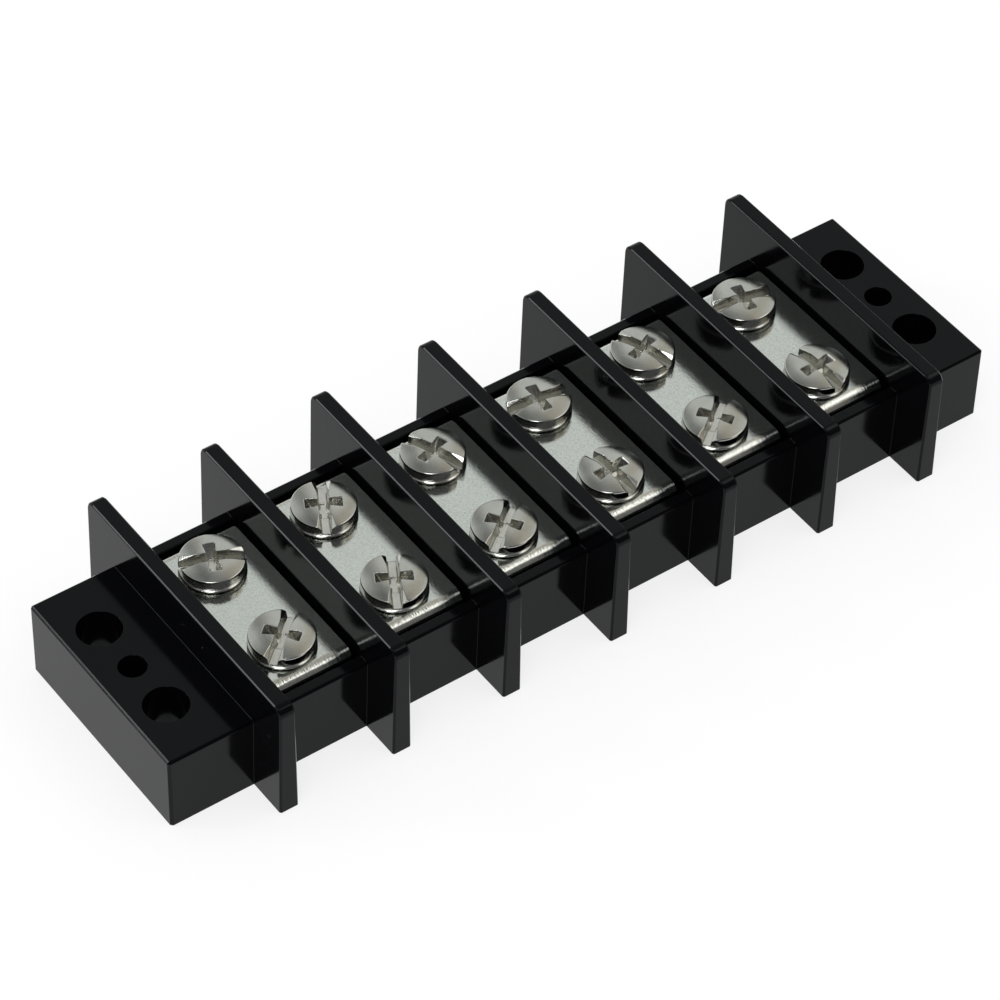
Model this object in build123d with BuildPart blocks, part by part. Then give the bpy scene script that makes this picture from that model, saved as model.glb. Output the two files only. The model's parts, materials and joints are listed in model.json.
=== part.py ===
"""A six-pole double-row barrier terminal strip.

A moulded housing with seven barrier plates carries six bent metal straps, and two binding head
screws clamp the wires on each strap. Lengths are in millimetres. X runs along the strip, Y across
it from the front row to the back row, and Z up from the mounting face. The origin is the middle of
the underside.
"""

import os
from math import radians, tan

from build123d import *

os.makedirs("parts", exist_ok=True)

# Housing: base bar and feet
poles = 6
pitch = 15.875
base_width = 30.1
base_height = 10.9
foot_length = 12.7
base_edge_break = 0.3

# Housing: barrier plates
barrier_reach = 41.15
barrier_height = 17.3
barrier_foot_thickness = 2.6
barrier_draft = 0.86
barrier_corner_radius = 1.3
barrier_edge_break = 0.2

# Housing: foot holes, one row across each foot
foot_hole_offset = 7.95
foot_hole_spacing = 14.4
foot_hole_diameter = 5.55
centre_hole_diameter = 3.5

# Housing: trough behind the ledges, with a seat block for each strap
ledge_width = 1.6
ledge_edge_break = 0.15
trough_depth = 2.6
seat_inset = 0.6

# Strap
strap_rise = 0.4
strap_thickness = 1.2
strap_bend_radius = 0.5
strap_side_gap = 0.4
strap_end_gap = 0.45
shoulder_gap = 0.3
tab_width = 8.0
tab_length = 3.0

# Screw
screw_inset = 5.6
shank_diameter = 4.1
shank_length = 6.35
head_diameter = 8.3
head_side = 1.9
head_crown = 0.3
head_slope = 0.3
slot_depth = 1.2
slot_floor_width = 1.05
slot_top_width = 1.5
recess_span = 4.7
recess_width = 1.1
recess_depth = 1.7
recess_floor_span = 1.7

# Clearances
thread_clearance = 0.05
tab_clearance = 0.05
well_clearance = 0.6
well_end_clearance = 0.5
slot_end_clearance = 0.3

# Direction of each driver slot about Z, as the screws were left
slot_angles = {
    "back": (158.0, 61.0, 111.0, 171.5, 109.5, 169.5),
    "front": (40.5, 61.0, 37.0, 93.5, 37.0, 94.0),
}

# Levels and places that follow from the sizes above
length = poles * pitch + 2 * foot_length
strap_width = pitch - barrier_foot_thickness - 2 * strap_side_gap
strap_span = base_width - 2 * (ledge_width + strap_end_gap)
screw_spacing = strap_span - 2 * screw_inset
trough_floor = base_height - trough_depth
strap_top = base_height + strap_rise
strap_seat = strap_top - strap_thickness
leg_centre = (strap_span - strap_thickness) / 2
shoulder = trough_floor + shoulder_gap
tab_end = trough_floor - tab_length
screw_tip = strap_top - shank_length
hole_row = poles * pitch / 2 + foot_hole_offset
rows = {"back": screw_spacing / 2, "front": -screw_spacing / 2}
barrier_top_thickness = barrier_foot_thickness - 2 * barrier_height * tan(radians(barrier_draft))


def cell_centre(number):
    """X of the middle of a terminal, counted from 1 at the left."""
    return (number - (poles + 1) / 2) * pitch


def barrier_plate():
    """One drafted plate with rounded top corners and softened edges, standing on the origin."""
    with BuildPart() as plate:
        with BuildSketch(Plane.XZ):
            with BuildLine():
                Polyline(
                    (-barrier_foot_thickness / 2, 0),
                    (barrier_foot_thickness / 2, 0),
                    (barrier_top_thickness / 2, barrier_height),
                    (-barrier_top_thickness / 2, barrier_height),
                    close=True,
                )
            make_face()
        extrude(amount=barrier_reach / 2, both=True)
        top_corners = plate.edges().filter_by(Axis.X).group_by(Axis.Z)[-1]
        fillet(top_corners, radius=barrier_corner_radius)
        broad_faces = plate.faces().sort_by(SortBy.AREA)[-2:]
        outline = broad_faces.edges() - plate.edges().group_by(Axis.Z)[0]
        chamfer(outline, length=barrier_edge_break)
    return plate.part


def moulded_housing():
    """The base bar with its feet, trough, seat blocks, barrier plates, wells, slots and foot holes."""
    plate = barrier_plate()
    seat_size = (
        strap_width - 2 * seat_inset,
        strap_span - 2 * strap_thickness - 2 * tab_clearance,
    )
    well_width = shank_diameter + 2 * well_clearance
    slot_size = (tab_width + 2 * tab_clearance, strap_thickness + 2 * tab_clearance)
    with BuildPart() as housing:
        with BuildSketch():
            Rectangle(length, base_width)
        extrude(amount=base_height)
        corners = housing.edges().filter_by(Axis.Z)
        top_edges = housing.edges().group_by(Axis.Z)[-1]
        chamfer(corners + top_edges, length=base_edge_break)

        # foot holes right through both feet
        with BuildSketch(Plane.XY.offset(base_height)):
            with GridLocations(2 * hole_row, foot_hole_spacing, 2, 2):
                Circle(foot_hole_diameter / 2)
            with GridLocations(2 * hole_row, 1, 2, 1):
                Circle(centre_hole_diameter / 2)
        extrude(amount=-base_height, mode=Mode.SUBTRACT)

        # trough between the two ledges, from the first barrier to the last
        with BuildSketch(Plane.XY.offset(base_height)):
            Rectangle(poles * pitch, base_width - 2 * ledge_width)
        extrude(amount=-trough_depth, mode=Mode.SUBTRACT)
        ledge_lips = housing.edges().filter_by(Axis.X).filter_by_position(
            Axis.Z, base_height, base_height
        )
        inner_lips = ledge_lips.filter_by_position(
            Axis.Y, -base_width / 2 + ledge_width, base_width / 2 - ledge_width
        )
        chamfer(inner_lips, length=ledge_edge_break)

        # one seat block under each strap
        with BuildSketch(Plane.XY.offset(trough_floor)):
            with GridLocations(pitch, 1, poles, 1):
                Rectangle(*seat_size)
        extrude(amount=strap_seat - trough_floor)
        seat_ends = housing.edges(Select.LAST).filter_by(Axis.X).group_by(Axis.Z)[-1]
        chamfer(seat_ends, length=strap_bend_radius + tab_clearance)

        # blind wells under the screws, and slots for the straps' tabs
        with BuildSketch(Plane.XY.offset(strap_seat)):
            with GridLocations(pitch, screw_spacing, poles, 2):
                Rectangle(well_width, well_width)
        well_depth = strap_seat - screw_tip + well_end_clearance
        extrude(amount=-well_depth, mode=Mode.SUBTRACT)
        with BuildSketch(Plane.XY.offset(trough_floor)):
            with GridLocations(pitch, 2 * leg_centre, poles, 2):
                Rectangle(*slot_size)
        extrude(amount=-(tab_length + slot_end_clearance), mode=Mode.SUBTRACT)

        # barrier plates, one more than there are poles
        with GridLocations(pitch, 1, poles + 1, 1):
            add(plate)
    return housing.part


def terminal_strap():
    """A flat strap with both ends bent down, a tab on each leg and two screw holes."""
    with BuildPart() as strap:
        with BuildSketch(Plane.YZ):
            with BuildLine():
                FilletPolyline(
                    (-strap_span / 2, tab_end),
                    (-strap_span / 2, strap_top),
                    (strap_span / 2, strap_top),
                    (strap_span / 2, tab_end),
                    radius=strap_bend_radius + strap_thickness,
                )
                offset(amount=strap_thickness, side=Side.RIGHT)
            make_face()
        extrude(amount=strap_width / 2, both=True)

        # beside each tab the leg stops at a shoulder
        shoulder_cut = (strap_width - tab_width) / 2
        with BuildSketch(Plane.XY.offset(tab_end)):
            with GridLocations(strap_width - shoulder_cut, 2 * leg_centre, 2, 2):
                Rectangle(shoulder_cut, 2 * strap_thickness)
        extrude(amount=shoulder - tab_end, mode=Mode.SUBTRACT)

        # screw holes
        with Locations((0, 0, strap_top)):
            with GridLocations(1, screw_spacing, 1, 2):
                Hole(shank_diameter / 2 + thread_clearance)
    return strap.part


def terminal_screw():
    """A combination drive binding head screw, with the underside of its head on the origin."""
    rim = head_diameter / 2
    crown = head_side + head_crown
    with BuildPart() as screw:
        with BuildSketch(Plane.XZ):
            with BuildLine():
                Polyline(
                    (0, crown),
                    (0, -shank_length),
                    (shank_diameter / 2, -shank_length),
                    (shank_diameter / 2, 0),
                    (rim, 0),
                    (rim, head_side),
                    (rim - head_slope, crown),
                    close=True,
                )
            make_face()
        revolve(axis=Axis.Z)

        # driver slot right across the head, narrower at its floor
        slot_floor = head_side - slot_depth
        with BuildSketch(Plane.YZ):
            with BuildLine():
                Polyline(
                    (-slot_floor_width / 2, slot_floor),
                    (slot_floor_width / 2, slot_floor),
                    (slot_top_width / 2, crown),
                    (-slot_top_width / 2, crown),
                    close=True,
                )
            make_face()
        extrude(amount=rim, both=True, mode=Mode.SUBTRACT)

        # cross recess, its arms sloping down to a short floor
        for side_view in (Plane.XZ, Plane.YZ):
            with BuildSketch(side_view):
                with BuildLine():
                    Polyline(
                        (-recess_span / 2, crown),
                        (recess_span / 2, crown),
                        (recess_floor_span / 2, crown - recess_depth),
                        (-recess_floor_span / 2, crown - recess_depth),
                        close=True,
                    )
                make_face()
            extrude(amount=recess_width / 2, both=True, mode=Mode.SUBTRACT)
    return screw.part


def write(piece, label):
    """Label a finished piece and write its file."""
    piece.label = label
    export_step(piece, f"parts/{label}.step")


write(moulded_housing(), "housing")

strap_part = terminal_strap()
screw_part = terminal_screw()
for number in range(1, poles + 1):
    x = cell_centre(number)
    write(strap_part.moved(Location((x, 0, 0))), f"terminal_strap_{number}")
    for row, y in rows.items():
        slot_angle = slot_angles[row][(number - 1) % len(slot_angles[row])]
        turned = Location((x, y, strap_top), (0, 0, slot_angle))
        write(screw_part.moved(turned), f"screw_{number}_{row}")
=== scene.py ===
# %% [markdown]
# A barrier terminal block, dressed in Blender
#
# A barrier terminal block joins wires in pairs. A black moulding carries six bent metal straps, tall
# barrier plates stand between them, and two screws clamp a wire at each end of every strap. The solids
# come from a CAD model, which fixes every size and place. This lesson adds what CAD leaves out: soft
# moulded edges, domed and slotted screw heads with a real thread, plated and turned metal, and a plain
# studio to look at it in.

# %% Load the frame
import json
import math

import bmesh
import bpy
from mathutils import Matrix, Vector


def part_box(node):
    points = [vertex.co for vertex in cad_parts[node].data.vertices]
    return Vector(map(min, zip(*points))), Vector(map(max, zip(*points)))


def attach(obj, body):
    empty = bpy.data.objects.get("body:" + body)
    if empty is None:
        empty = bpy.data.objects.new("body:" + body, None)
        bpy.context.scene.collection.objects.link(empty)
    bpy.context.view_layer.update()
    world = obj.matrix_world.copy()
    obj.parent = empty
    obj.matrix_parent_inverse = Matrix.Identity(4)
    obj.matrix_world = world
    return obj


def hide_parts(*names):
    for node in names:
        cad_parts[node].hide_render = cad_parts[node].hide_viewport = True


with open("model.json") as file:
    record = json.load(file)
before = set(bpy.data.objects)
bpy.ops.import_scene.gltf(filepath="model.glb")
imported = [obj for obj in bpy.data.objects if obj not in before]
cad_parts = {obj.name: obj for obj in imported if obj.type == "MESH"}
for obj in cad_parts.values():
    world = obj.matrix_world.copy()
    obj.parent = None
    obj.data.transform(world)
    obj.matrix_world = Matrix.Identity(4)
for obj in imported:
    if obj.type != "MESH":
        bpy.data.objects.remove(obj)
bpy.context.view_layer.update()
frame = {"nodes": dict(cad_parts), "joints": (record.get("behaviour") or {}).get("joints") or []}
scene = bpy.context.scene
MM = 0.001

# %% [markdown]
# Every node's place is in its vertices, so a box round a node gives its sizes. The screws turn about
# the axes that the joints state, and each screw node is named after its body, so one loop over the
# joints finds the place of every screw. Sizes that are read like this follow the CAD model when it
# changes, which sizes typed in again would not.

# %% Sizes read from the frame
base_low, base_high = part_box("housing")
strap_names = sorted(name for name in frame["nodes"] if name.startswith("terminal_strap_"))
strap_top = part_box(strap_names[0])[1].z
screw_seats = {joint["child"]: Vector(joint["pos_m"]) for joint in frame["joints"]}
print("block", [round(size / MM, 2) for size in base_high - base_low], "mm")
print("strap top at", round(strap_top / MM, 2), "mm")
print(len(strap_names), "straps and", len(screw_seats), "screws")


# %% [markdown]
# The photograph was taken from the front left, well above the block, with a long lens from half a metre
# away. A camera could be aimed by eye in the viewport, but placed by numbers it stands in the same place
# each time. The angles below say how: the camera stands at an azimuth and an elevation seen from a
# target on the bench, at a distance, and is rolled a little. With this lens and sensor and a square
# frame, the picture shows what the photograph does.

# %% Camera
camera_azimuth = math.radians(-36.88)
camera_elevation = math.radians(45.48)
camera_roll = math.radians(1.68)
camera_distance = 556.7 * MM
camera_target = Vector((1.69, 6.38, 0.0)) * MM
camera_lens = 162.0
sensor_width = 36.0
nearest_seen = 0.01
farthest_seen = 20.0


def camera_axes(azimuth, elevation, roll):
    """The camera's own X, Y and Z axes, as Z points back from what it looks at."""
    back = Vector(
        (
            math.sin(azimuth) * math.cos(elevation),
            -math.cos(azimuth) * math.cos(elevation),
            math.sin(elevation),
        )
    )
    level = Vector((math.cos(azimuth), math.sin(azimuth), 0.0))
    upright = back.cross(level)
    across = level * math.cos(roll) + upright * math.sin(roll)
    up = upright * math.cos(roll) - level * math.sin(roll)
    return across, up, back


across, up, back = camera_axes(camera_azimuth, camera_elevation, camera_roll)
camera = bpy.data.objects.new("camera", bpy.data.cameras.new("camera"))
camera.data.lens = camera_lens
camera.data.sensor_width = sensor_width
camera.data.clip_start = nearest_seen
camera.data.clip_end = farthest_seen
camera_place = Matrix.Translation(camera_target + back * camera_distance)
camera.matrix_world = camera_place @ Matrix((across, up, back)).transposed().to_4x4()
scene.collection.objects.link(camera)
scene.camera = camera
scene.view_settings.view_transform = "Standard"
print("camera at", [round(v, 3) for v in camera.matrix_world.translation])


# %% [markdown]
# Node trees could be drawn in the editor, but in a script small helpers build them. One adds a node and
# sets its sockets, one links two sockets, and three make the nodes that come up most: a Math node, a
# colour mix and a Map Range. A Mix node keeps its own set of sockets for every kind of data, so the
# colour ones are found by their number.

# %% Node helpers
def add_node(tree, kind, **values):
    """A node of a kind, with its properties and its unlinked inputs set by name."""
    node = tree.nodes.new(kind)
    for key, value in values.items():
        if hasattr(node, key):
            setattr(node, key, value)
        else:
            node.inputs[key.replace("_", " ")].default_value = value
    return node


def link(tree, source, target):
    """A link from an output socket to an input socket."""
    tree.links.new(source, target)


def feed(tree, socket, value):
    """Links an input to a socket, or sets it to a value that is no socket."""
    if isinstance(value, bpy.types.NodeSocket):
        link(tree, value, socket)
    else:
        socket.default_value = value


def math_node(tree, operation, *values):
    """A Math node whose inputs are numbers or sockets; returns its output."""
    node = add_node(tree, "ShaderNodeMath", operation=operation)
    for socket, value in zip(node.inputs, values):
        feed(tree, socket, value)
    return node.outputs[0]


mix_factor = 0
mix_first_colour = 6
mix_second_colour = 7
mixed_colour = 2


def mix_colour(tree, factor, first, second):
    """A colour mix whose inputs are colours or sockets; returns its output."""
    node = add_node(tree, "ShaderNodeMix", data_type="RGBA")
    feed(tree, node.inputs[mix_factor], factor)
    feed(tree, node.inputs[mix_first_colour], first)
    feed(tree, node.inputs[mix_second_colour], second)
    return node.outputs[mixed_colour]


def map_range(tree, value, low, high, to_low=0.0, to_high=1.0):
    """A clamped Map Range from low..high to to_low..to_high; returns its output."""
    node = tree.nodes.new("ShaderNodeMapRange")
    link(tree, value, node.inputs["Value"])
    for label, number in (("From Min", low), ("From Max", high), ("To Min", to_low), ("To Max", to_high)):
        node.inputs[label].default_value = number
    return node.outputs["Result"]


print("node helpers ready")


# %% [markdown]
# Around the block there is only a room to be mirrored. Metal has no colour of its own to show, only what
# it mirrors, so the room is what makes the straps bright and the sides of the screw heads dark. A photo
# of a real room could do this too, but a few soft edges between light and dark are easier to tune. The
# far side of this room is light, the ceiling is dimmer, and the near side is dark, as a room behind a
# photographer is, with a warmer and lighter part to the right. A flat top mirrors one direction only,
# straight across from the camera. Two dim posts stand to the left and right of that direction, so only
# the domed heads show them, as a shade on both sides. Low down the room is brighter, for the bends and
# rims. The camera and mirror rays see this room, and soft light comes from an even white one, so that
# colours keep their own value. Every edge below is a pair of values of a direction's X, Y or Z: where a
# change begins and where it is complete.

# %% Values of the room
room_light = (0.72, 0.745, 0.73, 1.0)
room_dark = (0.11, 0.11, 0.115, 1.0)
room_warm = (0.5, 0.44, 0.36, 1.0)
light_edge = (-0.35, 0.2)
ceiling_edge = (0.74, 0.87)
ceiling_share = 0.3
post_bearing = -camera_azimuth
post_offset = math.radians(16)
post_half = math.radians(7.5)
post_core = 0.3
post_share = 0.3
warm_right_edge = (0.28, 0.42)
warm_near_edge = (-0.85, -0.2)
horizon_edge = (0.12, 0.4)
horizon_gain = 1.5
soft_room_strength = 0.85
white = (1.0, 1.0, 1.0, 1.0)
print("posts", round(math.degrees(post_offset)), "degrees to each side of where a flat top mirrors")


# %% Light and dark parts of the room
def split_axes(tree, vector):
    """The X, Y and Z outputs of a vector socket."""
    node = tree.nodes.new("ShaderNodeSeparateXYZ")
    link(tree, vector, node.inputs[0])
    return node.outputs["X"], node.outputs["Y"], node.outputs["Z"]


def room_lightness(tree, direction_x, direction_y, direction_z):
    """1 in the light part of the room and less on its ceiling, posts and near side."""
    far_side = map_range(tree, direction_y, *light_edge)
    ceiling = map_range(tree, direction_z, *ceiling_edge, 1.0, ceiling_share)
    lightness = math_node(tree, "MULTIPLY", far_side, ceiling)
    bearing = math_node(tree, "ARCTAN2", direction_x, direction_y)
    aside = math_node(tree, "ABSOLUTE", math_node(tree, "SUBTRACT", bearing, post_bearing))
    from_post = math_node(tree, "ABSOLUTE", math_node(tree, "SUBTRACT", aside, post_offset))
    posts = map_range(tree, from_post, post_core * post_half, post_half, post_share, 1.0)
    return math_node(tree, "MULTIPLY", lightness, posts)


world = bpy.data.worlds.new("room")
world.use_nodes = True
scene.world = world
tree = world.node_tree
tree.nodes.clear()
direction = split_axes(tree, add_node(tree, "ShaderNodeTexCoord").outputs["Generated"])
direction_x, direction_y, direction_z = direction
to_right = map_range(tree, direction_x, *warm_right_edge)
to_near = map_range(tree, direction_y, *warm_near_edge)
near_side = mix_colour(tree, math_node(tree, "MULTIPLY", to_right, to_near), room_dark, room_warm)
room_colour = mix_colour(tree, room_lightness(tree, *direction), near_side, room_light)
horizon = map_range(tree, direction_z, *horizon_edge, horizon_gain, 1.0)
print("room colours from", len(tree.nodes), "nodes")


# %% Room
def seen_rays(tree):
    """1 for the rays of the camera and of mirrors and glass, and 0 for the rays of soft light."""
    rays = add_node(tree, "ShaderNodeLightPath")
    seen = math_node(tree, "MAXIMUM", rays.outputs["Is Camera Ray"], rays.outputs["Is Glossy Ray"])
    return math_node(tree, "MAXIMUM", seen, rays.outputs["Is Transmission Ray"])


def mix_shaders(tree, factor, first, second):
    """A mix of two shaders; returns its output."""
    node = tree.nodes.new("ShaderNodeMixShader")
    for socket, source in zip(node.inputs, (factor, first, second)):
        link(tree, source, socket)
    return node.outputs[0]


seen_room = add_node(tree, "ShaderNodeBackground")
link(tree, room_colour, seen_room.inputs["Color"])
link(tree, horizon, seen_room.inputs["Strength"])
soft_room = add_node(tree, "ShaderNodeBackground", Color=white, Strength=soft_room_strength)
room = mix_shaders(tree, seen_rays(tree), soft_room.outputs[0], seen_room.outputs[0])
link(tree, room, add_node(tree, "ShaderNodeOutputWorld").inputs["Surface"])
print("room made, with soft light of strength", soft_room_strength)

# %% [markdown]
# The block lies on a plain pale bench, as on the sheet of paper in a product photo. Lit paper alone
# would come out grey, and brighter lamps would wash out the metal. So the rays of the camera and of
# mirrors see mostly an even white that gives its own light, and the paper under it keeps a faint shadow
# round the block. The bench lies a hair under the mounting face, so that the two never share a plane.

# %% Bench
bench_size = 8.0
bench_drop = 0.02 * MM
bench_whiteness = 0.75
paper_white = (0.95, 0.95, 0.95, 1.0)

bpy.ops.mesh.primitive_plane_add(size=bench_size, location=(0.0, 0.0, -bench_drop))
bench = bpy.context.object
bench.name = "bench"
bench_paper = bpy.data.materials.new("bench_paper")
bench_paper.use_nodes = True
tree = bench_paper.node_tree
tree.nodes.clear()
paper = add_node(tree, "ShaderNodeBsdfDiffuse", Color=paper_white)
glow = add_node(tree, "ShaderNodeEmission", Color=white, Strength=1.0)
whiteness = math_node(tree, "MULTIPLY", seen_rays(tree), bench_whiteness)
surface = mix_shaders(tree, whiteness, paper.outputs[0], glow.outputs[0])
link(tree, surface, add_node(tree, "ShaderNodeOutputMaterial").inputs["Surface"])
bench.data.materials.append(bench_paper)
print("bench", bench_size, "m across")


# %% [markdown]
# Three soft lamps stand far enough away to look the same from every terminal. They are here less to
# light the black moulding, which has almost no colour to light, than to be mirrored. The large one high
# on the right draws the long streaks on the bends of the straps. The one low behind on the left draws
# the thin line along the top left edge of every barrier. The small one, nearly overhead and a little in
# front, makes the glints on the rims and slots of the screw heads. Rectangles are used because their
# edges show in a mirror, as those of a real soft box do. A lamp's power is worked out from how bright
# it should look, so that a change of its size changes the width of a streak and not its brightness.

# %% Lamps
lamp_distance = 1.4
lamps = {
    "high_right_lamp": {"toward": (0.5, -0.22, 0.84), "width": 1.1, "depth": 0.3, "radiance": 1.4},
    "low_left_lamp": {"toward": (-0.71, 0.56, 0.42), "width": 0.3, "depth": 0.3, "radiance": 10.0},
    "small_front_lamp": {"toward": (-0.28, -0.22, 0.93), "width": 0.35, "depth": 0.62, "radiance": 5.0},
}


def soft_lamp(name, toward, width, depth, radiance):
    """An area lamp of a size and a radiance, in a direction, that points at the block."""
    light = bpy.data.lights.new(name, "AREA")
    light.shape = "RECTANGLE"
    light.size = width
    light.size_y = depth
    light.energy = radiance * math.pi * width * depth
    lamp = bpy.data.objects.new(name, light)
    lamp.location = Vector(toward).normalized() * lamp_distance
    lamp.rotation_mode = "QUATERNION"
    lamp.rotation_quaternion = lamp.location.to_track_quat("Z", "Y")
    scene.collection.objects.link(lamp)
    print(name, "in direction", [round(v, 2) for v in lamp.location / lamp_distance])


for lamp_name, lamp_values in lamps.items():
    soft_lamp(lamp_name, **lamp_values)


# %% [markdown]
# Moulded plastic and plated metal are never quite even. Each material could have its own noise nodes,
# but one group gives all of them their unevenness: two scales of noise on Object coordinates, as a
# value that a material turns into roughness, colour or height. Its sizes are real ones, in metres, and
# the group turns them into the scales of its noises.

# %% Shader group for uneven surfaces
FLOAT = "NodeSocketFloat"


def new_group(name, inputs, output):
    """A shader group with named numbers as inputs and one output; returns it and its two ends."""
    group = bpy.data.node_groups.new(name, "ShaderNodeTree")
    for label, default in inputs.items():
        group.interface.new_socket(label, in_out="INPUT", socket_type=FLOAT).default_value = default
    group.interface.new_socket(output, in_out="OUTPUT", socket_type=FLOAT)
    given = group.nodes.new("NodeGroupInput").outputs
    result = group.nodes.new("NodeGroupOutput").inputs[output]
    return group, given, result


def object_place(tree):
    """Object coordinates, which are metres here, because every finished piece stands unscaled."""
    return add_node(tree, "ShaderNodeTexCoord").outputs["Object"]


def per_metre(group, size):
    """The scale of a texture whose features have a size given by a socket."""
    return math_node(group, "DIVIDE", 1.0, size)


def sized_noise(group, size):
    """Noise on Object coordinates whose features have a size given by a socket."""
    noise = add_node(group, "ShaderNodeTexNoise", Detail=3.0, Roughness=0.55)
    link(group, object_place(group), noise.inputs["Vector"])
    link(group, per_metre(group, size), noise.inputs["Scale"])
    return noise.outputs["Fac"]


uneven, given, result = new_group(
    "uneven_surface",
    {"Broad Size": 10 * MM, "Fine Size": 0.5 * MM, "Fine Share": 0.5},
    "Value",
)
broad_share = math_node(uneven, "SUBTRACT", 1.0, given["Fine Share"])
broad_part = math_node(uneven, "MULTIPLY", sized_noise(uneven, given["Broad Size"]), broad_share)
fine_part = math_node(uneven, "MULTIPLY", sized_noise(uneven, given["Fine Size"]), given["Fine Share"])
link(uneven, math_node(uneven, "ADD", broad_part, fine_part), result)
print("group", uneven.name, "of", len(uneven.nodes), "nodes")

# %% [markdown]
# Dust shows on black plastic as tiny pale specks. Real specks could be scattered as small meshes, but
# they are too small to have a shape. A Voronoi pattern has one point in each of its cells, so the places
# near a point make round specks, and the random colour of each cell keeps only a share of them.

# %% Shader group for dust specks
dust, given, result = new_group(
    "dust_specks",
    {"Spacing": 2 * MM, "Speck Size": 0.05, "Share": 0.3},
    "Mask",
)
cells = add_node(dust, "ShaderNodeTexVoronoi", feature="F1")
link(dust, object_place(dust), cells.inputs["Vector"])
link(dust, per_metre(dust, given["Spacing"]), cells.inputs["Scale"])
near_point = math_node(dust, "LESS_THAN", cells.outputs["Distance"], given["Speck Size"])
cell_number = split_axes(dust, cells.outputs["Color"])[0]
kept_cell = math_node(dust, "LESS_THAN", cell_number, given["Share"])
link(dust, math_node(dust, "MULTIPLY", near_point, kept_cell), result)
print("group", dust.name, "of", len(dust.nodes), "nodes")


# %% [markdown]
# A material here starts from one helper that clears the node tree and gives it a Principled shader.
# What is the same all over a surface, such as metal or the strength of its shine, is a value on that
# shader's own socket. What changes over the surface comes from the two groups above, through helpers
# that place a group with its own values and that turn a height into a bump.

# %% Material helpers
def new_finish(name, **values):
    """A material with one Principled shader, whose constant sockets are set by name."""
    material = bpy.data.materials.new(name)
    material.use_nodes = True
    nodes = material.node_tree
    nodes.nodes.clear()
    shader = nodes.nodes.new("ShaderNodeBsdfPrincipled")
    for key, value in values.items():
        shader.inputs[key.replace("_", " ")].default_value = value
    link(nodes, shader.outputs[0], add_node(nodes, "ShaderNodeOutputMaterial").inputs["Surface"])
    return material, nodes, shader.inputs


def group_value(tree, group, **values):
    """The output of a group that is placed in a tree with its own values."""
    node = tree.nodes.new("ShaderNodeGroup")
    node.node_tree = group
    for key, value in values.items():
        node.inputs[key.replace("_", " ")].default_value = value
    return node.outputs[0]


def bump(tree, height, strength, distance, under=None):
    """A Bump node on a height, over another bump if there is one; returns its normal."""
    node = add_node(tree, "ShaderNodeBump", Strength=strength, Distance=distance)
    link(tree, height, node.inputs["Height"])
    if under is not None:
        link(tree, under, node.inputs["Normal"])
    return node.outputs["Normal"]


print("material helpers ready")

# %% [markdown]
# The housing is a glossy black thermoset moulding. Its colour is almost nothing and its shine is all
# that shows: faint where the eye looks straight at a face, stronger along faces seen at a slant. A plain
# black with a sharp shine would look like glass, so the moulding has a very slight waviness, its gloss
# changes a little from place to place, and a few specks of dust lie on it. Nearly all values of a noise
# lie in the middle of its range, so the middle part alone is spread over the roughness.

# %% Finish of the black moulding
moulding_black = (0.0014, 0.0014, 0.002, 1.0)
dust_grey = (0.16, 0.17, 0.18, 1.0)
moulding_roughness = (0.07, 0.15)
narrow_noise = (0.35, 0.65)

moulding, tree, inputs = new_finish(
    "black_moulding", Specular_IOR_Level=0.22, IOR=1.35, Specular_Tint=(0.93, 1.0, 1.0, 1.0), Metallic=0.0
)
waves = group_value(tree, uneven, Broad_Size=14 * MM, Fine_Size=0.9 * MM, Fine_Share=0.35)
specks = group_value(tree, dust, Spacing=2.6 * MM, Speck_Size=0.028, Share=0.3)
link(tree, mix_colour(tree, specks, moulding_black, dust_grey), inputs["Base Color"])
link(tree, map_range(tree, waves, *narrow_noise, *moulding_roughness), inputs["Roughness"])
link(tree, bump(tree, waves, strength=0.12, distance=0.02 * MM), inputs["Normal"])
print("finish", moulding.name)

# %% [markdown]
# The straps are plated. Their satin comes from a fine mottled grain left by the plating bath, over faint
# marks that run along the strip from rolling. The grain changes the roughness and a little of the
# colour. The rolling marks are a noise that is stretched along Y and Z, the way the strip runs. The flat
# top is nearly smooth, so the marks are held back there and fray the light on the bends.

# %% Finish of the plated straps
plating_dark = (0.52, 0.543, 0.51, 1.0)
plating_light = (0.76, 0.785, 0.75, 1.0)
plating_roughness = (0.06, 0.17)
wide_noise = (0.3, 0.7)
rolling_width = 0.22 * MM
rolling_stretch = (1.0, 0.06, 0.06)
bend_start = 0.12 * MM
flat_share = 0.15

plating, tree, inputs = new_finish("satin_plating", Metallic=1.0)
grain = group_value(tree, uneven, Broad_Size=3.0 * MM, Fine_Size=0.17 * MM, Fine_Share=0.85)
strap_colour = mix_colour(tree, map_range(tree, grain, *wide_noise), plating_dark, plating_light)
link(tree, strap_colour, inputs["Base Color"])
link(tree, map_range(tree, grain, *narrow_noise, *plating_roughness), inputs["Roughness"])
lengthwise = add_node(tree, "ShaderNodeMapping", Scale=rolling_stretch)
link(tree, object_place(tree), lengthwise.inputs["Vector"])
rolled = add_node(tree, "ShaderNodeTexNoise", Scale=1 / rolling_width, Detail=2.0, Roughness=0.6)
link(tree, lengthwise.outputs["Vector"], rolled.inputs["Vector"])
strap_height = split_axes(tree, object_place(tree))[2]
on_bend = map_range(tree, strap_height, strap_top - bend_start, strap_top, 1.0, flat_share)
rolled_marks = math_node(tree, "MULTIPLY", rolled.outputs["Fac"], on_bend)
grain_bump = bump(tree, grain, strength=0.6, distance=0.014 * MM)
marks_bump = bump(tree, rolled_marks, strength=0.8, distance=0.03 * MM, under=grain_bump)
link(tree, marks_bump, inputs["Normal"])
print("finish", plating.name)

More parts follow.
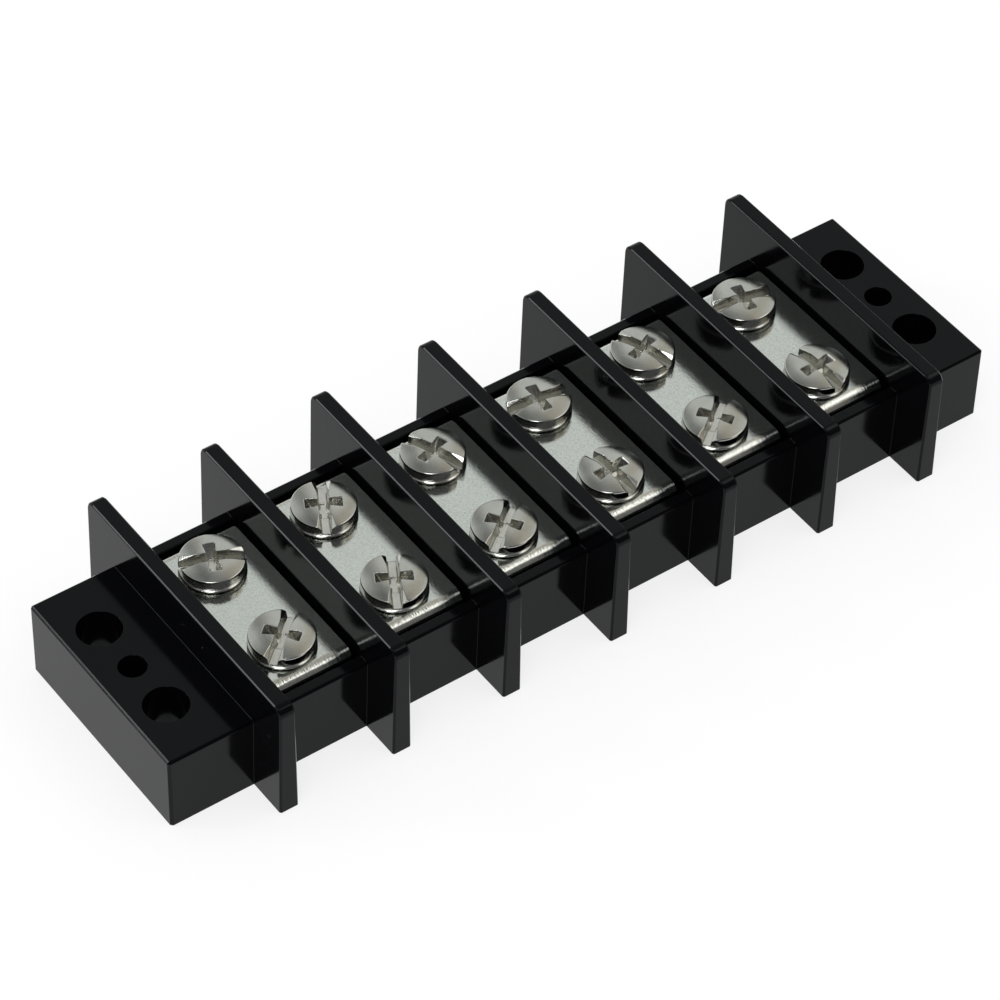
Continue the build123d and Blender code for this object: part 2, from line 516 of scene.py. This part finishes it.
# %% [markdown]
# The screw heads are turned, so their tops carry very fine rings round the middle, and light spreads
# across the rings and not along them, which draws a soft bow tie on every head. A pattern on Object
# coordinates would centre both on the block. So each screw's mesh carries an attribute, "turning", with
# every point's place from the screw's own axis: its length gives the rings, and its right angle in the
# plane of the head gives the direction in which the metal is brushed. Inside the slot and the recess the
# metal is struck and not turned. A second attribute, "struck", says where that is, and there the rings
# give way to small dents and a rougher shine. There the colour is also lighter: painted light that
# brightens the slot and the recess.

# %% Finish of the turned screws
rings_per_metre = 7.0 / MM


def join_axes(tree, **axes):
    """A vector from sockets for some of its axes; the others stay zero."""
    node = tree.nodes.new("ShaderNodeCombineXYZ")
    for axis, value in axes.items():
        link(tree, value, node.inputs[axis])
    return node.outputs[0]


turned, tree, inputs = new_finish("turned_plating", Metallic=1.0, Anisotropic=0.4)
from_axis = add_node(tree, "ShaderNodeAttribute", attribute_name="turning").outputs["Vector"]
struck = add_node(tree, "ShaderNodeAttribute", attribute_name="struck").outputs["Fac"]
axis_x, axis_y = split_axes(tree, from_axis)[:2]
ring_radius = add_node(tree, "ShaderNodeVectorMath", operation="LENGTH")
link(tree, join_axes(tree, X=axis_x, Y=axis_y), ring_radius.inputs[0])
rings = add_node(tree, "ShaderNodeTexNoise", Scale=rings_per_metre, Detail=3.0, Roughness=0.7)
rings.noise_dimensions = "1D"
link(tree, ring_radius.outputs["Value"], rings.inputs["W"])
brushed = add_node(
    tree, "ShaderNodeVectorTransform", vector_type="VECTOR", convert_from="OBJECT", convert_to="WORLD"
)
along_ring = join_axes(tree, X=math_node(tree, "MULTIPLY", axis_y, -1.0), Y=axis_x)
link(tree, along_ring, brushed.inputs[0])
link(tree, brushed.outputs[0], inputs["Tangent"])
print("rings", round(MM * rings_per_metre), "to a millimetre")

# %% [markdown]
# With the rings, the brushed direction and the struck parts at hand, the finish is put together: a
# mottled colour for each kind of surface, mixed by "struck", and one bump over the other. The struck
# colour is lighter than the turned one, as painted light in the slot and the recess.

# %% Colour, roughness and bumps of the turned screws
turned_dark = (0.46, 0.465, 0.43, 1.0)
turned_light = (0.58, 0.585, 0.545, 1.0)
# The struck colours are lighter than the turned ones: painted light in the slot and the recess.
painted_lit_struck_dark = (0.52, 0.515, 0.475, 1.0)
painted_lit_struck_light = (0.7, 0.695, 0.65, 1.0)
turned_roughness = (0.1, 0.17)
more_when_struck = 0.06

grain = group_value(tree, uneven, Broad_Size=2.0 * MM, Fine_Size=0.12 * MM, Fine_Share=0.5)
mottle = map_range(tree, grain, *wide_noise)
turned_colour = mix_colour(tree, mottle, turned_dark, turned_light)
struck_mottle_painted_lit = mix_colour(tree, mottle, painted_lit_struck_dark, painted_lit_struck_light)
# Mixed in by "struck": the random mottle plus the painted lighter tone of the slot and the recess.
link(tree, mix_colour(tree, struck, turned_colour, struck_mottle_painted_lit), inputs["Base Color"])
ring_roughness = map_range(tree, rings.outputs["Fac"], *wide_noise, *turned_roughness)
more_roughness = math_node(tree, "MULTIPLY", struck, more_when_struck)
link(tree, math_node(tree, "ADD", ring_roughness, more_roughness), inputs["Roughness"])
not_struck = math_node(tree, "SUBTRACT", 1.0, struck)
ring_relief = math_node(tree, "MULTIPLY", rings.outputs["Fac"], not_struck)
dent_relief = math_node(tree, "MULTIPLY", grain, struck)
ring_bump = bump(tree, ring_relief, strength=0.6, distance=0.007 * MM)
dent_bump = bump(tree, dent_relief, strength=0.5, distance=0.03 * MM, under=ring_bump)
link(tree, dent_bump, inputs["Normal"])
print("finish", turned.name)


# %% [markdown]
# The housing and the straps keep the CAD model's form and get soft edges, because a moulding's and a
# bent strip's edges are never sharp, and a sharp edge catches no light. A node's mesh is loose
# triangles, so a copy of it is merged and its flat triangles are joined into whole faces. The copy is
# made a thousand times larger for this, because these tools work best near the size of one unit. Then a
# Bevel modifier rounds the edges, and a Weighted Normal modifier keeps the large faces flat in the
# light. The result is turned into a plain mesh. Filleting the solids in CAD would do the same, but
# would cost it many small faces.

# %% Merged copies and plain meshes
merge_distance = 0.002
flat_angle = math.radians(0.5)


def joined_copy(node_name):
    """A bmesh of a node in millimetres, with doubles merged and flat faces joined."""
    form = bmesh.new()
    form.from_mesh(frame["nodes"][node_name].data)
    bmesh.ops.scale(form, vec=(1 / MM, 1 / MM, 1 / MM), verts=form.verts)
    bmesh.ops.remove_doubles(form, verts=form.verts, dist=merge_distance)
    bmesh.ops.dissolve_limit(
        form, angle_limit=flat_angle, use_dissolve_boundaries=False, verts=form.verts, edges=form.edges
    )
    return form


def new_piece(name, form):
    """An object with a bmesh's mesh, linked to the scene."""
    mesh = bpy.data.meshes.new(name)
    form.to_mesh(mesh)
    form.free()
    piece = bpy.data.objects.new(name, mesh)
    scene.collection.objects.link(piece)
    return piece


def plain_mesh(piece):
    """Makes what a piece's modifiers show its own plain mesh, and takes the modifiers off."""
    depsgraph = bpy.context.evaluated_depsgraph_get()
    made = bpy.data.meshes.new_from_object(piece.evaluated_get(depsgraph))
    piece.modifiers.clear()
    piece.data = made


print("flat faces are joined within", round(math.degrees(flat_angle), 2), "degrees")

# %% Soft edges
edge_angle = math.radians(28)
edge_segments = 3


def shade_smooth(piece):
    """Smooth shading on all faces of a piece."""
    for polygon in piece.data.polygons:
        polygon.use_smooth = True


def soften(piece, width):
    """Rounds a piece's edges by a width in its own units and keeps its flat faces flat."""
    bevel = piece.modifiers.new("soft_edges", "BEVEL")
    bevel.width = width
    bevel.segments = edge_segments
    bevel.limit_method = "ANGLE"
    bevel.angle_limit = edge_angle
    bevel.use_clamp_overlap = True
    bevel.miter_outer = "MITER_ARC"
    shade_smooth(piece)
    weighted = piece.modifiers.new("flat_faces", "WEIGHTED_NORMAL")
    weighted.keep_sharp = True
    plain_mesh(piece)


def soft_edged(node_name, name, width, finish):
    """A soft edged piece that stands for a CAD node."""
    piece = new_piece(name, joined_copy(node_name))
    soften(piece, width)
    piece.data.transform(Matrix.Scale(MM, 4))
    piece.data.materials.clear()
    piece.data.materials.append(finish)
    print(name, len(piece.data.polygons), "faces")
    return piece


print("edges over", round(math.degrees(edge_angle)), "degrees get", edge_segments, "segments")

# %% [markdown]
# The housing is one moulding, and every strap is a strip of sheet metal with both ends bent down. They
# are the block's fixed body, so all of them ride the root. They could share one width of soft edge, but
# plating rounds the edges of a strap a little further, so straps and moulding have their own.

# %% Housing and straps
housing_edge = 0.09
strap_edge = 0.12

body = soft_edged("housing", "moulded_housing", housing_edge, moulding)
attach(body, "root")
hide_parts("housing")
for strap_name in strap_names:
    strap = soft_edged(strap_name, strap_name.replace("terminal", "plated"), strap_edge, plating)
    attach(strap, "root")
    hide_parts(strap_name)

# %% [markdown]
# A binding head screw has a shallow dome, a straight side, and a thin ring at the bottom where the head
# spreads over the wire. In the CAD model the head is a drum with a flat top, so the outline here adds
# the dome, the rounded rim, the neck and the ring. A head could be built from a cylinder with bevels,
# but it is a turned part, so it is made as one: a line of points in the plane of the axis, which a loop
# turns round the axis. All twelve heads are copies of one, in millimetres, standing on the origin.

# %% Sizes of a screw
first_screw, first_seat = next(iter(screw_seats.items()))
screw_low, screw_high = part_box(first_screw)
head_radius = (screw_high.x - screw_low.x) / 2 / MM
cad_crown = (screw_high.z - first_seat.z) / MM
shank_length = (first_seat.z - screw_low.z) / MM
shank_radius = 2.05
crown_height = cad_crown + 0.08
rim_height = cad_crown - 0.3
rim_round = 0.18
dome_power = 2.2
side_radius = head_radius - 0.1
side_low = 0.7
side_break = (0.05, 0.06)
neck_radius = head_radius - 0.34
neck_low = 0.55
neck_high = 0.64
ring_round = 0.09
ring_height = 0.31
ring_arc = (-80, 60)
underside_radius = head_radius - 0.9
head_sides = 96
dome_steps = 14
arc_steps = 6
print("head", round(2 * head_radius, 2), "mm across and", round(crown_height, 2), "mm high")


# %% Outline of a head
def dome_height(radius):
    """Height of the dome at a distance from the axis: nearly flat in the middle, steeper at the rim."""
    return crown_height - (crown_height - rim_height) * (radius / side_radius) ** dome_power


def arc(centre, radius, start, stop):
    """Points on an arc in the plane of the outline, with angles in degrees."""
    angles = [math.radians(start + (stop - start) * i / arc_steps) for i in range(arc_steps + 1)]
    return [(centre[0] + radius * math.cos(a), centre[1] + radius * math.sin(a)) for a in angles]


def head_outline():
    """Radius and height of a head's outline, from the underside of its middle up to its crown."""
    rim_slope = math.atan(dome_power * (crown_height - rim_height) / side_radius)
    dome_edge = side_radius - rim_round * (1 - math.sin(rim_slope))
    rim_middle = (side_radius - rim_round, dome_height(dome_edge) - rim_round * math.cos(rim_slope))
    break_width, break_height = side_break
    points = [(0.0, 0.0), (underside_radius, 0.0)]
    points += arc((head_radius - ring_round, ring_height), ring_round, *ring_arc)
    points += [(neck_radius, neck_low), (neck_radius, neck_high)]
    points += [(side_radius - break_width, side_low), (side_radius, side_low + break_height)]
    points += arc(rim_middle, rim_round, 0, 90 - math.degrees(rim_slope))
    for step in range(dome_steps - 1, -1, -1):
        radius = dome_edge * step / dome_steps
        points.append((radius, dome_height(radius)))
    return points


print("outline of", len(head_outline()), "points")


# %% Turned blank of a head
on_axis = 1e-6


def turned_solid(outline, steps):
    """A closed bmesh made by turning an outline that starts and ends on the axis."""
    form = bmesh.new()
    rounds = []
    for radius, height in outline:
        if radius < on_axis:
            rounds.append([form.verts.new((0.0, 0.0, height))])
            continue
        angles = [2 * math.pi * i / steps for i in range(steps)]
        spots = [(radius * math.cos(a), radius * math.sin(a), height) for a in angles]
        rounds.append([form.verts.new(spot) for spot in spots])
    for lower, upper in zip(rounds, rounds[1:]):
        for i in range(steps):
            j = (i + 1) % steps
            if len(lower) == 1:
                form.faces.new((lower[0], upper[j], upper[i]))
            elif len(upper) == 1:
                form.faces.new((lower[i], lower[j], upper[0]))
            else:
                form.faces.new((lower[i], lower[j], upper[j], upper[i]))
    bmesh.ops.recalc_face_normals(form, faces=form.faces)
    return form


head = new_piece("head_blank", turned_solid(head_outline(), head_sides))
print("head blank", len(head.data.polygons), "faces")

# %% [markdown]
# The driver slot runs right across the head and opens out where it meets the rim. The cross recess sits
# in the middle, its four arms sloping down to a small floor, as a punch leaves it. Both could be drawn
# into the head's mesh, but they run through each other and through a round rim. So they are cutters:
# closed convex shapes that a Boolean modifier takes away one after the other.

# %% Sizes of the slot and the recess
cutter_top = crown_height + 0.3
cutter_reach = head_radius + 0.3
slot_floor = 0.7
slot_halves = (0.5, 0.74)
flare_start = 1.4
flare_start_low = crown_height - 0.05
flare_start_halves = (0.55, 0.62)
flare_end_low = rim_height - 0.6
flare_end_halves = (0.46, 2.4)
recess_floor = crown_height - 1.75
recess_reaches = (1.15, 2.6)
recess_inner_halves = (0.34, 0.5)
recess_outer_halves = (0.4, 0.86)
recess_turns = (0, 90, 180, 270)
print("slot", round(crown_height - slot_floor, 2), "mm deep")
print("recess", round(crown_height - recess_floor, 2), "mm deep")


# %% Cutters for the slot and the recess
def hull(name, points):
    """A closed convex cutter round some points."""
    form = bmesh.new()
    for point in points:
        form.verts.new(point)
    bmesh.ops.convex_hull(form, input=form.verts)
    bmesh.ops.recalc_face_normals(form, faces=form.faces)
    return new_piece(name, form)


def slot_body():
    """The driver slot right across the head, a little wider at its top."""
    points = []
    for half, height in zip(slot_halves, (slot_floor, cutter_top)):
        points += [(x * cutter_reach, y * half, height) for x in (-1, 1) for y in (-1, 1)]
    return hull("slot_cutter", points)


def slot_flare(side):
    """The smooth slope where the slot runs out over the rim, from nothing to its full width there."""
    sections = (
        (flare_start, flare_start_low, flare_start_halves),
        (cutter_reach, flare_end_low, flare_end_halves),
    )
    points = []
    for reach, low, (low_half, top_half) in sections:
        for y in (-1, 1):
            points += [(side * reach, y * low_half, low), (side * reach, y * top_half, cutter_top)]
    return hull(f"flare_cutter_{side}", points)


def recess_arm(turn):
    """One arm of the recess, wider at its end and sloping down to the floor."""
    floor_reach, top_reach = recess_reaches
    points = []
    for share, (floor_half, top_half) in ((0.0, recess_inner_halves), (1.0, recess_outer_halves)):
        for y in (-1, 1):
            points.append((share * top_reach, y * top_half, cutter_top))
            points.append((share * floor_reach, y * floor_half, recess_floor))
    spin = Matrix.Rotation(math.radians(turn), 3, "Z")
    return hull(f"recess_cutter_{turn}", [spin @ Vector(point) for point in points])


def cut(piece, cutter):
    """Takes a cutter away from a piece and removes the cutter."""
    boolean = piece.modifiers.new("cut", "BOOLEAN")
    boolean.operation = "DIFFERENCE"
    boolean.solver = "EXACT"
    boolean.object = cutter
    plain_mesh(piece)
    bpy.data.objects.remove(cutter)


cutters = [slot_body(), slot_flare(-1), slot_flare(1)]
cutters += [recess_arm(turn) for turn in recess_turns]
for cutter in cutters:
    cut(head, cutter)
print("head cut by", len(cutters), "cutters,", len(head.data.polygons), "faces")

# %% [markdown]
# A struck edge is rounded, and plating rounds it further. A Bevel modifier can't do that here: the
# cutters leave some very short edges, and a bevel grows no wider than its shortest edge allows. So the
# whole head is built again as an even grid of small faces, which a Smooth modifier then wears down, most
# at the sharpest edges. A Decimate modifier takes away the faces that the flat parts don't need.

# %% Worn edges of the head
grid_size = 0.045
wear_factor = 0.5
wear_passes = 8
kept_faces = 0.25

grid = head.modifiers.new("even_grid", "REMESH")
grid.mode = "VOXEL"
grid.voxel_size = grid_size
wear = head.modifiers.new("worn_edges", "SMOOTH")
wear.factor = wear_factor
wear.iterations = wear_passes
lighter = head.modifiers.new("fewer_faces", "DECIMATE")
lighter.ratio = kept_faces
plain_mesh(head)
shade_smooth(head)
print("struck head", len(head.data.polygons), "faces")

# %% [markdown]
# The shank carries a real thread. A ridge could be swept along a helix and joined to a cylinder. But a
# thread follows a rule, so Geometry Nodes make it: on a plain cylinder with many rings, every point
# moves in by a sawtooth of its height and its angle, which leaves a ridge that winds round the shank.
# The thread ends in a thin neck below the head and tapers at the tip, as a rolled thread does.

# %% Sizes of the thread
thread_pitch = 0.794
thread_depth = 0.42
crest_flat = 0.12
run_out_heights = (-0.5, -0.15)
tip_length = 0.7
tip_depth = 1.25
shank_rings = 104
shank_sides = 40
print(round(shank_length / thread_pitch, 1), "turns of thread")


# %% Shank and thread in Geometry Nodes
def plain_shank(tree, given):
    """A plain cylinder with many rings, hanging from the origin."""
    shank = add_node(
        tree,
        "GeometryNodeMeshCylinder",
        Vertices=shank_sides,
        Side_Segments=shank_rings,
        fill_type="NGON",
    )
    link(tree, given["Outer Radius"], shank.inputs["Radius"])
    link(tree, given["Length"], shank.inputs["Depth"])
    lowered = tree.nodes.new("GeometryNodeTransform")
    drop = join_axes(tree, Z=math_node(tree, "MULTIPLY", given["Length"], -0.5))
    link(tree, shank.outputs["Mesh"], lowered.inputs["Geometry"])
    link(tree, drop, lowered.inputs["Translation"])
    return lowered.outputs[0]


def thread_share(tree, given, x, y, z):
    """How deep each point lies in the thread: 0 on a crest, 1 in a root and more at the tip."""
    turns = math_node(tree, "DIVIDE", math_node(tree, "ARCTAN2", y, x), 2 * math.pi)
    pitches = math_node(tree, "DIVIDE", z, given["Pitch"])
    phase = math_node(tree, "FRACT", math_node(tree, "SUBTRACT", pitches, turns))
    tooth = math_node(tree, "ABSOLUTE", math_node(tree, "MULTIPLY_ADD", phase, 2.0, -1.0))
    tooth = map_range(tree, tooth, crest_flat, 1 - crest_flat)
    run_out = map_range(tree, z, *run_out_heights)
    above_tip = math_node(tree, "ADD", z, given["Length"])
    tip = map_range(tree, above_tip, 0.0, tip_length, tip_depth, 0.0)
    return math_node(tree, "MAXIMUM", math_node(tree, "MAXIMUM", tooth, run_out), tip)


def threaded_shank(tree, given):
    """The shank with every point moved in by its share of the thread's depth."""
    x, y, z = split_axes(tree, tree.nodes.new("GeometryNodeInputPosition").outputs[0])
    depth = math_node(tree, "MULTIPLY", thread_share(tree, given, x, y, z), given["Thread Depth"])
    kept_radius = math_node(tree, "SUBTRACT", given["Outer Radius"], depth)
    shrink = math_node(tree, "DIVIDE", kept_radius, given["Outer Radius"])
    new_x = math_node(tree, "MULTIPLY", x, shrink)
    new_y = math_node(tree, "MULTIPLY", y, shrink)
    threaded = tree.nodes.new("GeometryNodeSetPosition")
    link(tree, plain_shank(tree, given), threaded.inputs["Geometry"])
    link(tree, join_axes(tree, X=new_x, Y=new_y, Z=z), threaded.inputs["Position"])
    smooth = tree.nodes.new("GeometryNodeSetShadeSmooth")
    link(tree, threaded.outputs[0], smooth.inputs["Geometry"])
    return smooth.outputs[0]


print("thread ends", -run_out_heights[0], "mm below the head and tapers over", tip_length, "mm")

# %% [markdown]
# One tree makes a whole screw: it joins the shank to the head, turns the screw to the angle it was left
# at, puts it on its seat and gives it its finish. Sizes, seat, angle, head and finish are named inputs,
# so the same tree serves all twelve screws.

# %% Screw tree
screw_numbers = {
    "Outer Radius": shank_radius,
    "Length": shank_length,
    "Pitch": thread_pitch,
    "Thread Depth": thread_depth,
    "Turn": 0.0,
}
screw_parts = {"Seat": "NodeSocketVector", "Head": "NodeSocketObject", "Finish": "NodeSocketMaterial"}
GEOMETRY = "NodeSocketGeometry"


def screw_tree():
    """The tree that makes one finished screw from the head, sizes, a seat and an angle."""
    tree = bpy.data.node_groups.new("clamp_screw", "GeometryNodeTree")
    tree.interface.new_socket("Geometry", in_out="INPUT", socket_type=GEOMETRY)
    for label, default in screw_numbers.items():
        tree.interface.new_socket(label, in_out="INPUT", socket_type=FLOAT).default_value = default
    for label, kind in screw_parts.items():
        tree.interface.new_socket(label, in_out="INPUT", socket_type=kind)
    tree.interface.new_socket("Geometry", in_out="OUTPUT", socket_type=GEOMETRY)
    given = tree.nodes.new("NodeGroupInput").outputs
    result = tree.nodes.new("NodeGroupOutput").inputs[0]

    # head and shank together
    head_info = tree.nodes.new("GeometryNodeObjectInfo")
    link(tree, given["Head"], head_info.inputs["Object"])
    joined = tree.nodes.new("GeometryNodeJoinGeometry")
    link(tree, threaded_shank(tree, given), joined.inputs[0])
    link(tree, head_info.outputs["Geometry"], joined.inputs[0])

    # turned, seated, made real and given their finish
    seated = tree.nodes.new("GeometryNodeTransform")
    link(tree, joined.outputs[0], seated.inputs["Geometry"])
    link(tree, given["Seat"], seated.inputs["Translation"])
    link(tree, join_axes(tree, Z=given["Turn"]), seated.inputs["Rotation"])
    real = tree.nodes.new("GeometryNodeRealizeInstances")
    link(tree, seated.outputs[0], real.inputs[0])
    finish = tree.nodes.new("GeometryNodeSetMaterial")
    link(tree, real.outputs[0], finish.inputs["Geometry"])
    link(tree, given["Finish"], finish.inputs["Material"])
    link(tree, finish.outputs[0], result)
    return tree


clamp_screw = screw_tree()
print("tree", clamp_screw.name, "of", len(clamp_screw.nodes), "nodes")


# %% [markdown]
# Every screw was left at its own angle when it was tightened. The angles could be typed in again, but
# they are in the CAD screws: the floor of a slot is the only flat face at its height in the head, so the
# middle of one of its ends, seen from the axis, gives the direction of the slot.

# %% Slot directions
floor_tolerance = 0.08 * MM
slot_end_size = 1.5 * MM


def slot_turn(node_name, seat):
    """The direction of a CAD screw's slot about its axis, in radians."""
    level = slot_floor * MM + seat.z
    places = [vertex.co for vertex in frame["nodes"][node_name].data.vertices]
    spots = [place for place in places if abs(place.z - level) < floor_tolerance]
    far = max(spots, key=lambda place: (place - seat).xy.length)
    end = [place for place in spots if (place - far).length < slot_end_size]
    middle = sum((place.copy() for place in end), Vector()) / len(end)
    return math.atan2(middle.y - seat.y, middle.x - seat.x)


slot_turns = {name: slot_turn(name, seat) for name, seat in screw_seats.items()}
print("slots at", [round(math.degrees(turn)) for turn in slot_turns.values()], "degrees")


# %% [markdown]
# Twelve screws clamp the wires. One host object for each runs the tree with its own inputs, which are
# set by the socket's identifier, and is then made a plain mesh, brought to metres and marked with the
# two attributes that its finish reads. Instances would be lighter, but each screw turns on its own body.
# What lies a little under the dome counts as struck, up to the rim.

# %% Marks for the finish
struck_from = 0.075
struck_full = 0.325
struck_reach = side_radius - 0.05


def struck_value(place):
    """0 on a head's dome and side, and 1 well below its dome: in the slot, the recess and under it."""
    radius = place.xy.length / MM
    if radius >= struck_reach:
        return 0.0
    depth = dome_height(radius) - place.z / MM
    return min(max((depth - struck_from) / (struck_full - struck_from), 0.0), 1.0)


def mark_surfaces(mesh, seat):
    """Two attributes: every point's place from the screw's axis and seat, and what was struck."""
    places = [vertex.co - seat for vertex in mesh.vertices]
    turning = mesh.attributes.new("turning", "FLOAT_VECTOR", "POINT")
    turning.data.foreach_set("vector", [number for place in places for number in place])
    struck = mesh.attributes.new("struck", "FLOAT", "POINT")
    struck.data.foreach_set("value", [struck_value(place) for place in places])


print("struck from", struck_from, "mm under the dome")


# %% Twelve screws
def set_inputs(modifier, values):
    """Sets a tree's inputs on its modifier, each by its socket's identifier."""
    for item in modifier.node_group.interface.items_tree:
        if item.in_out == "INPUT" and item.name in values:
            modifier[item.identifier] = values[item.name]


def make_screw(body_name, seat):
    """One finished screw on its own body, in place of its CAD node."""
    mesh = bpy.data.meshes.new(body_name.replace("screw", "clamp_screw"))
    piece = bpy.data.objects.new(mesh.name, mesh)
    scene.collection.objects.link(piece)
    modifier = piece.modifiers.new("clamp_screw", "NODES")
    modifier.node_group = clamp_screw
    turn = slot_turns[body_name]
    set_inputs(modifier, {"Head": head, "Finish": turned, "Turn": turn, "Seat": seat / MM})
    plain_mesh(piece)
    piece.data.transform(Matrix.Scale(MM, 4))
    mark_surfaces(piece.data, seat)
    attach(piece, body_name)
    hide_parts(body_name)
    return piece


screws = [make_screw(name, seat) for name, seat in screw_seats.items()]
bpy.data.objects.remove(head)
print(len(screws), "screws of", len(screws[0].data.polygons), "faces")
